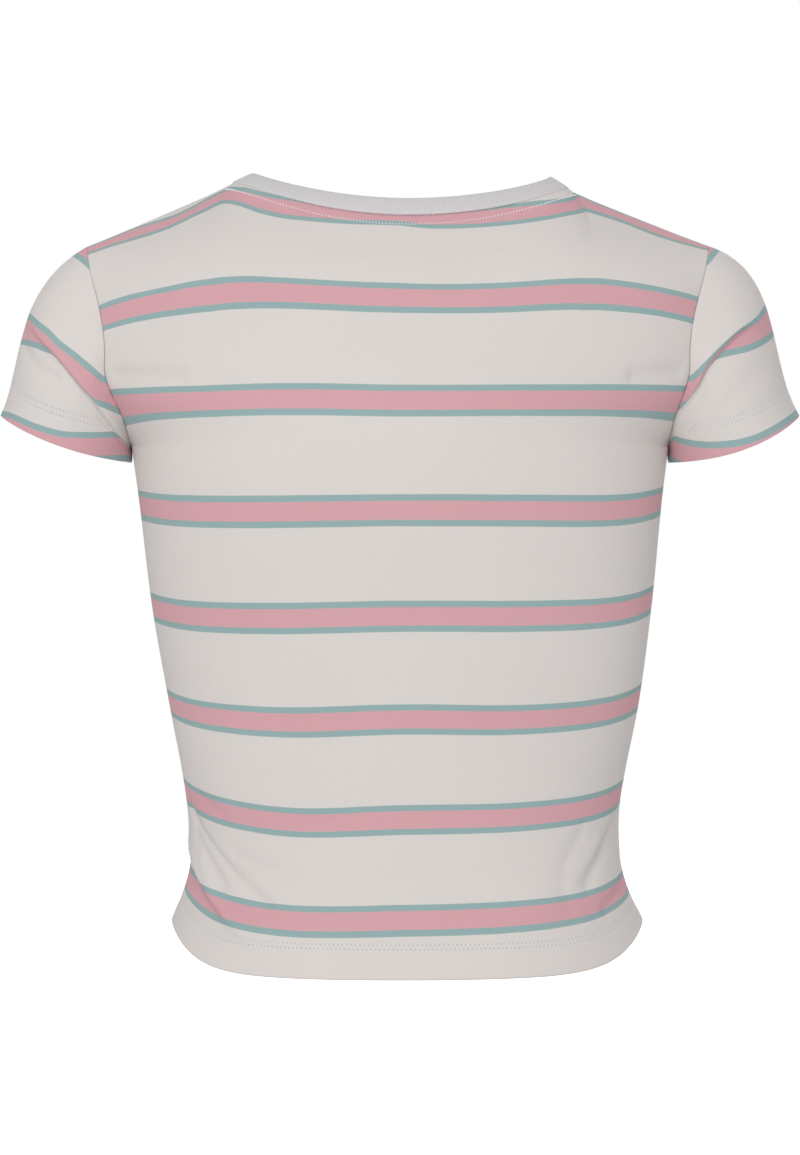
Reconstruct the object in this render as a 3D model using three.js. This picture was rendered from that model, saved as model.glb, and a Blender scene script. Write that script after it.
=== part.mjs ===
// A striped crop top with short sleeves, filled out as if worn: hollow, with cloth walls.
// Millimetres, +Z up. The front faces -Y and the wearer's left is at +X.
// The origin is level with the tops of the shoulders, midway between them.
import * as THREE from "three";

const JERSEY = { color: 0xdcd8d4, roughness: 0.9, metalness: 0 };
const RIB = { color: 0xcfcdcd, roughness: 0.9, metalness: 0 };

const WALL = 1.2; // one layer of jersey
const TURNED_UP_WALL = 2.1; // the hem and the cuffs, where the cloth is double
const BAND_WALL = 2.0; // the rib, folded double
const SEAM_GAP = 0.3; // between two pieces that are sewn together
const STRIPE_REPEAT = 58; // from one pink stripe to the next, down the cloth

// Across a panel, s runs from -1 at the wearer's right to 1 at the left.
// Down a panel, t counts stripe repeats from the shoulder stripe.
const NECK_POINT = 0.54; // s where the neckline meets the shoulder seam
const UNDERARM = 2.43; // t where the armholes end and the side seams begin
const HEM = 7.56;
const ROUNDNESS = 2.3; // exponent of the torso's level sections, 2 would be an ellipse
const SIDE_LIFT = 9; // exponent of the rise of each level line towards the side seams

// Level sections of the torso: reach of each side seam, depth at the centre line of back and front, and height there
// and at the side seams. The first two lie above the underarm, where the armholes give the reach.
const SECTIONS = [
  { t: 1.0, back: 77, front: 92, backZ: -67, frontZ: -68 },
  { t: 2.0, back: 86, front: 108, backZ: -123.5, frontZ: -124 },
  { t: UNDERARM, left: 152.5, right: 152.5, back: 88, front: 115, backZ: -149.5, frontZ: -150, leftZ: -148, rightZ: -148 },
  { t: 3.0, left: 148.2, right: 148.8, back: 87, front: 119, backZ: -183.3, frontZ: -184, leftZ: -179.5, rightZ: -179.5 },
  { t: 4.0, left: 141.1, right: 143.6, back: 80, front: 109, backZ: -241.3, frontZ: -243, leftZ: -239, rightZ: -235 },
  { t: 5.0, left: 131.5, right: 136.5, back: 75, front: 98, backZ: -297.8, frontZ: -301, leftZ: -294, rightZ: -291 },
  { t: 6.0, left: 122.3, right: 126.2, back: 77, front: 92, backZ: -352.4, frontZ: -357, leftZ: -344, rightZ: -346 },
  { t: 6.6, left: 119.2, right: 125.2, back: 82, front: 94, backZ: -384.5, frontZ: -389, leftZ: -375, rightZ: -378 },
  { t: 7.0, left: 121.6, right: 129.5, back: 88, front: 98, backZ: -405.6, frontZ: -410, leftZ: -394, rightZ: -398 },
  { t: HEM, left: 130.3, right: 138.5, back: 95, front: 102, backZ: -438.9, frontZ: -441, leftZ: -417, rightZ: -417 },
];

// Where the seams of each side end: the neck point, the shoulder point and the underarm. The top of each sleeve leaves
// the shoulder at an angle below level and reaches the cuff at an angle from upright, both in degrees, with pulls in
// lengths of the straight line between. The neckband leans in from upright over each shoulder, in degrees too.
const SIDES = {
  left: {
    sign: 1,
    neckPoint: [94.5, 3, 1.1],
    shoulderPoint: [177, 5, -34.7],
    underarm: [152.5, 0, -148],
    cap: { fall: 29.5, leave: 1.38, arrive: 0.82, flare: 26 },
    cuffSag: 4,
    bandLean: 66,
  },
  right: {
    sign: -1,
    neckPoint: [-95, 3, -2.3],
    shoulderPoint: [-175, 5, -34.6],
    underarm: [-152.5, 0, -148],
    cap: { fall: 18, leave: 1.24, arrive: 0.99, flare: 31.7 },
    cuffSag: 6.5,
    bandLean: 58,
  },
};

// The two panels: which way they face, the neckline's depth and lowest point, how far the armhole scoops out to that
// side, the first level section below the neckline, and how steeply the cloth leaves the top edge, in degrees.
const PANELS = {
  back: {
    facing: 1,
    neckDepth: 45,
    neckLow: -19.8,
    neckPower: 2,
    scoop: 43,
    firstSection: 1,
    slopeAtNeck: 48,
    slopeAtShoulder: 26,
  },
  front: {
    facing: -1,
    neckDepth: 62,
    neckLow: -84,
    neckPower: 1.5,
    scoop: 41,
    firstSection: 2,
    slopeAtNeck: 58,
    slopeAtShoulder: 26,
  },
};
const NECK_SHIFT = -5; // the neckline's lowest point lies this far to the wearer's right
const NECK_SPREAD = 0.8; // how far the cloth spreads sideways where it leaves the neck points
const SHOULDER_FALL = 0.43; // the shoulder seam's drop for each millimetre outwards

// Where the armhole crosses each level line: turn is 0 at the shoulder point and 180 at the underarm.
const ARMHOLE_LEVELS = [
  { turn: 0, t: 0 },
  { turn: 71, t: 1 },
  { turn: 125, t: 2 },
  { turn: 180, t: UNDERARM },
];
const ARMHOLE_EGG = 0.15; // share by which the armhole is fuller low down than high up

// How far each armhole leans out at a turn
const ARMHOLE_LEANS = [
  { turn: 0, left: 0, right: 0 },
  { turn: 45, left: -0.3, right: -1.2 },
  { turn: 65, left: -1.6, right: -2.8 },
  { turn: 80, left: -1.4, right: -3.2 },
  { turn: 93, left: 0.0, right: -2.0 },
  { turn: 107, left: 2.9, right: 0.4 },
  { turn: 118, left: 2.2, right: 0.0 },
  { turn: 135, left: -0.7, right: -1.8 },
  { turn: 150, left: -0.8, right: -1.6 },
  { turn: 180, left: 0, right: 0 },
];

// The sleeve hangs from the armhole to a cuff, an ellipse round a centre, tilted with the sleeve.
const CUFF = { out: 190, z: -143.7, tilt: 20.2, across: 39.4, deep: 46 };
const UNDERARM_PULL = 1.12; // the same as the pulls of the cap, at the underarm
const CUFF_TURN_UP = 11;
const SLEEVE_LENGTH = 75; // about half way round

// The neckband leans in from upright at the centre of back and front, in degrees.
const BAND = { width: 12.5, leanBack: 42, leanFront: 34, bulge: 0.5 };
const HEM_TURN_UP = 19;

// The largest folds of the panels: each runs from one place to another in s and t, bowed sideways in the middle. A
// depth below zero is a trough. A ledge is a step down towards larger s, or smaller s if it is below zero.
const PANEL_FOLDS = {
  back: [
    { s0: 0.85, t0: 6.12, s1: 0.56, t1: 7.15, bow: 16, halfWidth: 14, depth: 0, ledge: 3.2 },
    { s0: 0.78, t0: 6.23, s1: 0.43, t1: 6.89, bow: 0, halfWidth: 7, depth: -1.6, ledge: 0 },
    { s0: -0.955, t0: 6.18, s1: -0.52, t1: 6.81, bow: 0, halfWidth: 12, depth: -2.5, ledge: 0 },
  ],
  front: [
    { s0: 0.93, t0: 6.25, s1: 0.56, t1: 6.95, bow: 0, halfWidth: 13, depth: -2.4, ledge: 0 },
    { s0: -0.87, t0: 6.1, s1: -0.63, t1: 7.2, bow: -12, halfWidth: 14, depth: 0, ledge: -2.8 },
    { s0: -0.8, t0: 6.3, s1: -0.52, t1: 6.8, bow: 0, halfWidth: 8, depth: -1.4, ledge: 0 },
  ],
};
const CLOTH_PER_S = 220; // millimetres of cloth across a panel for each unit of s

// The crease round each sleeve, where its cap hangs over its lower part: the share of the sleeve's length at which it
// lies and the height of its step, at each turn from the shoulder point (0) down the back to the underarm (180) and up
// the front (360).
const SLEEVE_CREASES = {
  left: [
    { turn: 0, v: 0.46, step: 0.6 },
    { turn: 27, v: 0.45, step: 1.5 },
    { turn: 43, v: 0.445, step: 2.2 },
    { turn: 60, v: 0.43, step: 2.6 },
    { turn: 92, v: 0.395, step: 2.6 },
    { turn: 106, v: 0.335, step: 2.4 },
    { turn: 117, v: 0.315, step: 2.2 },
    { turn: 136, v: 0.32, step: 1.5 },
    { turn: 153, v: 0.21, step: 0.8 },
    { turn: 180, v: 0.1, step: 0 },
    { turn: 225, v: 0.25, step: 1 },
    { turn: 265, v: 0.36, step: 1.9 },
    { turn: 305, v: 0.43, step: 1.5 },
    { turn: 335, v: 0.455, step: 0.8 },
    { turn: 360, v: 0.46, step: 0.6 },
  ],
  right: [
    { turn: 0, v: 0.5, step: 0 },
    { turn: 30, v: 0.44, step: 0.8 },
    { turn: 49, v: 0.385, step: 1.8 },
    { turn: 57, v: 0.345, step: 2.4 },
    { turn: 77, v: 0.275, step: 2.6 },
    { turn: 91, v: 0.22, step: 2.4 },
    { turn: 103, v: 0.165, step: 2 },
    { turn: 115, v: 0.085, step: 1.5 },
    { turn: 128, v: 0.02, step: 0.6 },
    { turn: 180, v: 0, step: 0 },
    { turn: 230, v: 0.1, step: 0.6 },
    { turn: 270, v: 0.24, step: 1.6 },
    { turn: 310, v: 0.36, step: 1.3 },
    { turn: 335, v: 0.44, step: 0.5 },
    { turn: 360, v: 0.5, step: 0 },
  ],
};
const CREASE_WIDTH = 14; // how far from the line the cloth takes to come back
const LEDGE_STEP = 3; // half the distance over which it steps down

// Steps of the mesh
const NECK_STEPS = 16;
const SHOULDER_STEPS = 10;
const ARMHOLE_STEPS = 12;
const SIDE_STEPS = 26;
const SLEEVE_STEPS = 14;

const radians = (degrees) => (degrees * Math.PI) / 180;
const mix = (a, b, share) => a + (b - a) * share;
const point = (list) => new THREE.Vector3(...list);

// A smooth curve through the rows of a table, from the column `from` to the column `to`.
function through(table, from, to) {
  const rows = table.filter((row) => row[to] !== undefined);
  const slopeAt = (i) => {
    const a = rows[Math.max(i - 1, 0)];
    const b = rows[Math.min(i + 1, rows.length - 1)];
    return (b[to] - a[to]) / (b[from] - a[from]);
  };
  return (x) => {
    let i = 0;
    while (i < rows.length - 2 && x > rows[i + 1][from]) {
      i += 1;
    }
    const [a, b] = [rows[i], rows[i + 1]];
    const span = b[from] - a[from];
    return hermite(a[to], slopeAt(i) * span, b[to], slopeAt(i + 1) * span, (x - a[from]) / span);
  };
}

// A cubic from a, leaving with slope da, to b, arriving with slope db.
function hermite(a, da, b, db, w) {
  const w2 = w * w;
  const w3 = w2 * w;
  return (
    a * (2 * w3 - 3 * w2 + 1) +
    da * (w3 - 2 * w2 + w) +
    b * (3 * w2 - 2 * w3) +
    db * (w3 - w2)
  );
}

function hermitePoint(a, da, b, db, w) {
  return new THREE.Vector3(
    hermite(a.x, da.x, b.x, db.x, w),
    hermite(a.y, da.y, b.y, db.y, w),
    hermite(a.z, da.z, b.z, db.z, w),
  );
}

const section = {};
for (const column of ["left", "right", "back", "front", "backZ", "frontZ", "leftZ", "rightZ"]) {
  section[column] = through(SECTIONS, "t", column);
}
const levelAtTurn = through(ARMHOLE_LEVELS, "turn", "t");
const turnAtLevel = through(ARMHOLE_LEVELS, "t", "turn");
const leanAtTurn = {
  left: through(ARMHOLE_LEANS, "turn", "left"),
  right: through(ARMHOLE_LEANS, "turn", "right"),
};

const sideOf = (s) => (s >= 0 ? "left" : "right");

// The armhole of one side, on the back or the front panel: an egg that leans in towards the underarm.
function armhole(side, panel, turn) {
  const { sign, shoulderPoint, underarm } = SIDES[side];
  const angle = radians(turn);
  const down = (1 - Math.cos(angle)) / 2;
  const at = point(shoulderPoint).lerp(point(underarm), down);
  const { facing, scoop } = PANELS[panel];
  at.y += facing * scoop * Math.sin(angle) * (1 - ARMHOLE_EGG * Math.cos(angle));
  at.x += sign * leanAtTurn[side](turn);
  return at;
}

// The neckline at s, as far as the neck points.
function neckline(panel, s) {
  const { facing, neckDepth, neckLow, neckPower } = PANELS[panel];
  const end = SIDES[sideOf(s)].neckPoint;
  const angle = radians((90 * Math.abs(s)) / NECK_POINT);
  const inner = Math.cos(angle);
  return new THREE.Vector3(
    end[0] * Math.sin(angle) + NECK_SHIFT * inner,
    end[1] + facing * neckDepth * inner,
    mix(end[2], neckLow, Math.pow(Math.max(inner, 0), neckPower)),
  );
}

// The top edge of a panel: shoulder seam, neckline, shoulder seam.
function topEdge(panel, s) {
  if (Math.abs(s) <= NECK_POINT) {
    return neckline(panel, s);
  }
  const { neckPoint, shoulderPoint } = SIDES[sideOf(s)];
  const share = (Math.abs(s) - NECK_POINT) / (1 - NECK_POINT);
  return point(neckPoint).lerp(point(shoulderPoint), share);
}

// One point of a level line, below the neckline.
function levelPoint(panel, s, t) {
  const { facing } = PANELS[panel];
  const side = sideOf(s);
  const depth = section[panel](t);
  const centreZ = section[panel + "Z"](t);
  let edge;
  if (t < UNDERARM) {
    edge = armhole(side, panel, turnAtLevel(t));
  } else {
    const reach = section[side](t) * SIDES[side].sign;
    edge = new THREE.Vector3(reach, 0, section[side + "Z"](t));
  }
  // The level line is a superellipse that ends where its depth has fallen to the edge's.
  const left = Math.min(Math.abs(edge.y) / depth, 1);
  const widest = Math.pow(1 - Math.pow(left, ROUNDNESS), 1 / ROUNDNESS);
  const angle = Math.abs(s) * Math.asin(widest);
  const across = Math.sin(angle);
  const share = across / widest;
  const fullness = Math.pow(Math.max(1 - Math.pow(across, ROUNDNESS), 0), 1 / ROUNDNESS);
  // Near the shoulders a level line still follows the rise and fall of the top edge.
  const follow = Math.pow(Math.max(1 - t / 2, 0), 2);
  const centreTop = topEdge(panel, 0).z;
  const edgeTop = topEdge(panel, SIDES[side].sign).z;
  const rise = topEdge(panel, s).z - mix(centreTop, edgeTop, Math.pow(share, SIDE_LIFT));
  return new THREE.Vector3(
    edge.x * share,
    facing * depth * fullness,
    mix(centreZ, edge.z, Math.pow(share, SIDE_LIFT)) + follow * rise,
  );
}

// One point of a panel's outside, without its folds.
function panelPoint(panel, s, t) {
  const { firstSection } = PANELS[panel];
  if (t >= firstSection) {
    return levelPoint(panel, s, t);
  }
  const w = t / firstSection;
  const reached = yokePoint(panel, s, w);
  // The yoke ends exactly on the armhole.
  const end = SIDES[sideOf(s)].sign;
  const wanted = armhole(sideOf(s), panel, turnAtLevel(t));
  const miss = wanted.sub(yokePoint(panel, end, w));
  return reached.addScaledVector(miss, Math.pow(Math.abs(s), 6));
}

// The yoke runs from the top edge, where it leaves with a set slope, into the first level section.
function yokePoint(panel, s, w) {
  const { facing, firstSection, slopeAtNeck, slopeAtShoulder } = PANELS[panel];
  const top = topEdge(panel, s);
  const low = levelPoint(panel, s, firstSection);
  const below = levelPoint(panel, s, firstSection + 0.02);
  const arriving = below.clone().sub(low).multiplyScalar(firstSection / 0.02);
  const toShoulder = Math.min(Math.abs(s) / NECK_POINT, 1);
  const slope = radians(mix(slopeAtNeck, slopeAtShoulder, toShoulder * toShoulder));
  // Round the neck points the cloth also leaves sideways, down the fall of the shoulder.
  const pastNeck = Math.max(Math.abs(s) - NECK_POINT, 0) / (1 - NECK_POINT);
  const sideways = NECK_SPREAD * Math.pow(toShoulder, 3) * Math.pow(1 - pastNeck, 3);
  const leaving = new THREE.Vector3(
    SIDES[sideOf(s)].sign * sideways,
    facing * Math.cos(slope),
    -Math.sin(slope) - SHOULDER_FALL * sideways,
  ).normalize();
  leaving.multiplyScalar(top.distanceTo(low));
  return hermitePoint(top, leaving, low, arriving, w);
}

// The mesh lines across a panel: s at each, finest where the panel turns to the side seams.
function columnStops() {
  const stops = [];
  for (let i = 0; i <= SHOULDER_STEPS; i += 1) {
    stops.push(mix(-1, -NECK_POINT, i / SHOULDER_STEPS));
  }
  for (let i = 1; i <= NECK_STEPS; i += 1) {
    stops.push(mix(-NECK_POINT, NECK_POINT, i / NECK_STEPS));
  }
  for (let i = 1; i <= SHOULDER_STEPS; i += 1) {
    stops.push(mix(NECK_POINT, 1, i / SHOULDER_STEPS));
  }
  return stops;
}

// The mesh lines down a panel: even steps round the armhole, then even steps down the side seam.
function rowStops() {
  const stops = [];
  for (let j = 0; j <= ARMHOLE_STEPS; j += 1) {
    stops.push(levelAtTurn((180 * j) / ARMHOLE_STEPS));
  }
  for (let j = 1; j <= SIDE_STEPS; j += 1) {
    stops.push(mix(UNDERARM, HEM, j / SIDE_STEPS));
  }
  return stops;
}

const COLUMNS = columnStops();
const ROWS = rowStops();

// Every outside below is a grid of points, rows[j][i], whose faces turn outwards, with a fold depth at each point.
function panelGrid(panel) {
  const columns = panel === "back" ? COLUMNS : [...COLUMNS].reverse();
  const rows = ROWS.map((t) => columns.map((s) => panelPoint(panel, s, t)));
  const folds = ROWS.map((t) =>
    columns.map((s) => {
      const edge = (1 - Math.pow(Math.abs(s), 16)) * Math.min((HEM - t) * 2 + 0.4, 1);
      return edge * foldDepth(panel, s * CLOTH_PER_S, t * STRIPE_REPEAT);
    }),
  );
  const turnedUp = HEM - HEM_TURN_UP / STRIPE_REPEAT;
  const walls = ROWS.map((t) => (t >= turnedUp ? TURNED_UP_WALL : WALL));
  return { rows, folds, walls, ring: false };
}

// A ledge's height at a distance from its line: the cloth steps down across the line and comes back slowly.
function ledgeAt(off, step, width) {
  return -step * Math.tanh(off / LEDGE_STEP) * Math.exp(-Math.abs(off) / width);
}

// The sum of the folds at a place of a panel, in millimetres of cloth. Each dies out past its ends.
function foldDepth(panel, x, y) {
  let sum = 0;
  for (const fold of PANEL_FOLDS[panel]) {
    const fromStart = [x - fold.s0 * CLOTH_PER_S, y - fold.t0 * STRIPE_REPEAT];
    const run = [(fold.s1 - fold.s0) * CLOTH_PER_S, (fold.t1 - fold.t0) * STRIPE_REPEAT];
    const length = Math.hypot(...run);
    const along = (fromStart[0] * run[0] + fromStart[1] * run[1]) / length;
    const part = Math.min(Math.max(along / length, 0), 1);
    const bowed = fold.bow * 4 * part * (1 - part);
    const off = (fromStart[0] * run[1] - fromStart[1] * run[0]) / length - bowed;
    const past = Math.max(-along, along - length, 0);
    const end = Math.exp(-Math.pow(past / fold.halfWidth, 2));
    const middle = Math.pow(Math.sin(Math.PI * mix(0.1, 0.9, part)), 2);
    sum += end * fold.depth * Math.exp(-Math.pow(off / fold.halfWidth, 2));
    sum += end * middle * ledgeAt(off, fold.ledge, fold.halfWidth);
  }
  return sum;
}

// Once round an armhole, from the shoulder point down the back and up the front.
function armholeStops() {
  const stops = [];
  for (let j = 0; j < ARMHOLE_STEPS; j += 1) {
    stops.push({ panel: "back", turn: (180 * j) / ARMHOLE_STEPS });
  }
  for (let j = ARMHOLE_STEPS; j > 0; j -= 1) {
    stops.push({ panel: "front", turn: (180 * j) / ARMHOLE_STEPS });
  }
  return stops;
}

function sleevePoint(side, stop, v) {
  const { sign, cap, cuffSag } = SIDES[side];
  const from = armhole(side, stop.panel, stop.turn);
  const tilt = radians(CUFF.tilt);
  const axis = new THREE.Vector3(sign * Math.sin(tilt), 0, -Math.cos(tilt));
  const acrossCuff = new THREE.Vector3(sign * Math.cos(tilt), 0, Math.sin(tilt));
  const turn = radians(stop.turn);
  const bend = Math.sin(turn);
  const to = new THREE.Vector3(sign * CUFF.out, 0, CUFF.z)
    .addScaledVector(acrossCuff, CUFF.across * Math.cos(turn))
    .addScaledVector(axis, cuffSag * bend * bend);
  to.y += PANELS[stop.panel].facing * CUFF.deep * bend;
  // The cloth leaves the armhole outwards at the top and along the sleeve at the underarm.
  const outwards = (1 + Math.cos(turn)) / 2;
  const fall = radians(mix(90 - CUFF.tilt, cap.fall, outwards));
  const flare = radians(mix(CUFF.tilt, cap.flare, outwards));
  const leaving = new THREE.Vector3(
    sign * Math.cos(fall),
    PANELS[stop.panel].facing * 0.25 * bend,
    -Math.sin(fall),
  ).normalize();
  const arriving = new THREE.Vector3(sign * Math.sin(flare), 0, -Math.cos(flare));
  const length = from.distanceTo(to);
  leaving.multiplyScalar(length * mix(UNDERARM_PULL, cap.leave, outwards));
  arriving.multiplyScalar(length * mix(UNDERARM_PULL, cap.arrive, outwards));
  return hermitePoint(from, leaving, to, arriving, v);
}

function sleeveGrid(side) {
  const stops = armholeStops();
  if (side === "left") {
    stops.reverse();
  }
  const shares = [];
  for (let j = 0; j <= SLEEVE_STEPS; j += 1) {
    shares.push(j / SLEEVE_STEPS);
  }
  const rows = shares.map((v) => stops.map((stop) => sleevePoint(side, stop, v)));
  const creaseAt = through(SLEEVE_CREASES[side], "turn", "v");
  const stepAt = through(SLEEVE_CREASES[side], "turn", "step");
  const folds = shares.map((v) =>
    stops.map((stop, i) => {
      const turn = stop.panel === "back" ? stop.turn : 360 - stop.turn;
      const off = (v - creaseAt(turn)) * rows[0][i].distanceTo(rows[SLEEVE_STEPS][i]);
      return Math.min(v * 5, 1) * ledgeAt(off, stepAt(turn), CREASE_WIDTH);
    }),
  );
  const walls = shares.map((v) => (v > 1 - CUFF_TURN_UP / SLEEVE_LENGTH ? TURNED_UP_WALL : WALL));
  return { rows, folds, walls, ring: true };
}

// The neckband rises from the neckline, leaning in.
function neckbandGrid() {
  const stops = [];
  for (let i = 0; i < NECK_STEPS; i += 1) {
    stops.push({ panel: "back", s: mix(-NECK_POINT, NECK_POINT, i / NECK_STEPS) });
  }
  for (let i = 0; i < NECK_STEPS; i += 1) {
    stops.push({ panel: "front", s: mix(NECK_POINT, -NECK_POINT, i / NECK_STEPS) });
  }
  const shares = [1, 0.5, 0];
  const rows = shares.map((share) =>
    stops.map(({ panel, s }) => {
      const { facing, neckDepth } = PANELS[panel];
      const angle = radians((90 * s) / NECK_POINT);
      const reach = Math.abs(SIDES[sideOf(s)].neckPoint[0]);
      const inwards = new THREE.Vector3(
        -Math.sin(angle) / reach,
        (-facing * Math.cos(angle)) / neckDepth,
        0,
      ).normalize();
      const leanCentre = panel === "back" ? BAND.leanBack : BAND.leanFront;
      const lean = radians(mix(SIDES[sideOf(s)].bandLean, leanCentre, Math.cos(angle) ** 2));
      const at = neckline(panel, s);
      at.addScaledVector(inwards, share * BAND.width * Math.sin(lean));
      at.z += share * BAND.width * Math.cos(lean);
      const bulge = BAND.bulge * 4 * share * (1 - share);
      at.addScaledVector(inwards, -bulge * Math.cos(lean));
      at.z += bulge * Math.sin(lean);
      return at;
    }),
  );
  const none = rows.map((row) => row.map(() => 0));
  return { rows, folds: none, walls: rows.map(() => BAND_WALL), ring: true };
}

const keyOf = (at) => [at.x, at.y, at.z].map((value) => value.toFixed(3)).join(" ");

// The quads of a grid, as corner places [row, column] in outward order.
function quadsOf({ rows, ring }) {
  const quads = [];
  const width = rows[0].length;
  for (let j = 0; j + 1 < rows.length; j += 1) {
    for (let i = 0; i < (ring ? width : width - 1); i += 1) {
      const next = (i + 1) % width;
      quads.push([
        [j, i],
        [j, next],
        [j + 1, next],
        [j + 1, i],
      ]);
    }
  }
  return quads;
}

// The outward normals of all the pieces together, so that two pieces agree where they are sewn.
function sharedNormals(grids) {
  const normals = new Map();
  for (const grid of grids) {
    for (const quad of quadsOf(grid)) {
      const corners = quad.map(([j, i]) => grid.rows[j][i]);
      const normal = new THREE.Vector3()
        .subVectors(corners[2], corners[0])
        .cross(new THREE.Vector3().subVectors(corners[3], corners[1]));
      for (const corner of corners) {
        const key = keyOf(corner);
        const sum = normals.get(key) ?? new THREE.Vector3();
        normals.set(key, sum.add(normal));
      }
    }
  }
  for (const normal of normals.values()) {
    normal.normalize();
  }
  return (at) => normals.get(keyOf(at));
}

// The free edges of a grid as closed loops of places, each with the cloth on its left.
function edgeLoops({ rows, ring }) {
  const last = rows.length - 1;
  const width = rows[0].length;
  const across = rows[0].map((_, i) => i);
  if (ring) {
    return [across.map((i) => [0, i]), across.map((i) => [last, i]).reverse()];
  }
  const down = rows.map((_, j) => j);
  return [
    [
      ...across.map((i) => [0, i]),
      ...down.slice(1).map((j) => [j, width - 1]),
      ...across.slice(0, -1).reverse().map((i) => [last, i]),
      ...down.slice(1, -1).reverse().map((j) => [j, 0]),
    ],
  ];
}

// Half a seam gap, square to both edges that meet at a place of the loop.
function pullBack(before, at, after, normal) {
  const first = new THREE.Vector3().subVectors(at, before).cross(normal).negate().normalize();
  const second = new THREE.Vector3().subVectors(after, at).cross(normal).negate().normalize();
  const length = SEAM_GAP / 2 / Math.max(1 + first.dot(second), 0.2);
  return first.add(second).multiplyScalar(length);
}

// A closed wall: the outside of a grid, the inside one wall further in, and a rim along each free edge.
function wallMesh(name, grid, normalAt, look) {
  const { rows, walls } = grid;
  const width = rows[0].length;
  const moves = rows.map((row) => row.map(() => new THREE.Vector3()));
  const loops = edgeLoops(grid);
  for (const loop of loops) {
    loop.forEach(([j, i], n) => {
      const [jb, ib] = loop[(n + loop.length - 1) % loop.length];
      const [ja, ia] = loop[(n + 1) % loop.length];
      const at = rows[j][i];
      moves[j][i] = pullBack(rows[jb][ib], at, rows[ja][ia], normalAt(at));
    });
  }
  const outside = [];
  const inside = [];
  rows.forEach((row, j) =>
    row.forEach((at, i) => {
      const moved = at.clone().add(moves[j][i]);
      outside.push(moved);
      inside.push(moved.clone().addScaledVector(normalAt(at), -walls[j]));
    }),
  );
  const points = [...outside, ...inside];
  const place = ([j, i]) => j * width + i;
  const faces = [];
  const addQuad = (a, b, c, d) => faces.push(a, b, c, a, c, d);
  for (const quad of quadsOf(grid)) {
    const [a, b, c, d] = quad.map(place);
    addQuad(a, b, c, d);
    addQuad(...[d, c, b, a].map((n) => n + outside.length));
  }
  for (const loop of loops) {
    loop.forEach((from, n) => {
      const a = place(from);
      const b = place(loop[(n + 1) % loop.length]);
      addQuad(b, a, a + outside.length, b + outside.length);
    });
  }
  const geometry = new THREE.BufferGeometry().setFromPoints(points);
  geometry.setIndex(faces);
  geometry.computeVertexNormals();
  const mesh = new THREE.Mesh(geometry, new THREE.MeshStandardMaterial(look));
  mesh.name = name;
  return mesh;
}

const grids = {
  back: panelGrid("back"),
  front: panelGrid("front"),
  sleeve_left: sleeveGrid("left"),
  sleeve_right: sleeveGrid("right"),
  neckband: neckbandGrid(),
};

// The folds move the smooth form along its normals, and the walls are then made on the folded form.
const smoothNormal = sharedNormals(Object.values(grids));
for (const grid of Object.values(grids)) {
  grid.rows = grid.rows.map((row, j) =>
    row.map((at, i) => at.clone().addScaledVector(smoothNormal(at), grid.folds[j][i])),
  );
}
const foldedNormal = sharedNormals(Object.values(grids));

const top = new THREE.Group();
for (const [name, grid] of Object.entries(grids)) {
  top.add(wallMesh(name, grid, foldedNormal, name === "neckband" ? RIB : JERSEY));
}

export default top;
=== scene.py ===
"""The looks of a striped crop top: jersey panels with their folds and stripes, rib neckband, seams and stitching.

Every form is worked out from the same named sizes as the solids, in millimetres, and laid on a finer grid.
"""

import math

import bpy
import numpy as np
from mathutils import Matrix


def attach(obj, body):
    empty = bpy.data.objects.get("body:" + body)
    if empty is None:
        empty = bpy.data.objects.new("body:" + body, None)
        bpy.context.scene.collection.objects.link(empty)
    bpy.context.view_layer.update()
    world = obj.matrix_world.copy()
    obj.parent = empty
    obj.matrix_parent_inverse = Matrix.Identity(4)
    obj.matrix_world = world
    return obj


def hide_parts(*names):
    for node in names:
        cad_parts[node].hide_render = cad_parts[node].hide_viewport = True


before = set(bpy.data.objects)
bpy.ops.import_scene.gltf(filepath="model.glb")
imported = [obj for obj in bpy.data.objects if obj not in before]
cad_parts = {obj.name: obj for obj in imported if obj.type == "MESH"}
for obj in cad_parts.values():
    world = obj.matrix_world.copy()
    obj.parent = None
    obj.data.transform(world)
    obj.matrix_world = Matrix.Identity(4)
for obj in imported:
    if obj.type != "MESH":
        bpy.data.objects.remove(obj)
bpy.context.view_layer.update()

# Cloth, in millimetres
WALL = 1.1
TURNED_UP_WALL = 1.9
STRIPE_REPEAT = 58.0
PINK_HALF = 5.15
EDGING_HALF = 8.65  # half of the pink with its two grey-green edgings
SIDE_SEAM = {"depth": 0.9, "width": 1.3}
ARMHOLE_SEAM = {"depth": 0.13, "width": 0.8}
NECK_SEAM = {"depth": 0.9, "width": 1.3}
CLOTH_PER_S = 220.0  # cloth across a panel for each unit of s
STRIP_HEIGHTS = ((0.0, 0.25), (0.19, 0.25), (0.37, 1.5), (0.46, 1.3), (0.54, 0.5), (0.62, 0.0))  # at each s
STRIP_FALL = 1.8  # half the distance over which it falls off below its stitches

# Across a panel, s runs from -1 at the wearer's right to 1 at the left.
# Down a panel, t counts stripe repeats from the shoulder stripe.
NECK_POINT = 0.54
UNDERARM = 2.43
HEM = 7.56
ROUNDNESS = 2.3
SIDE_LIFT = 9

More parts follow.
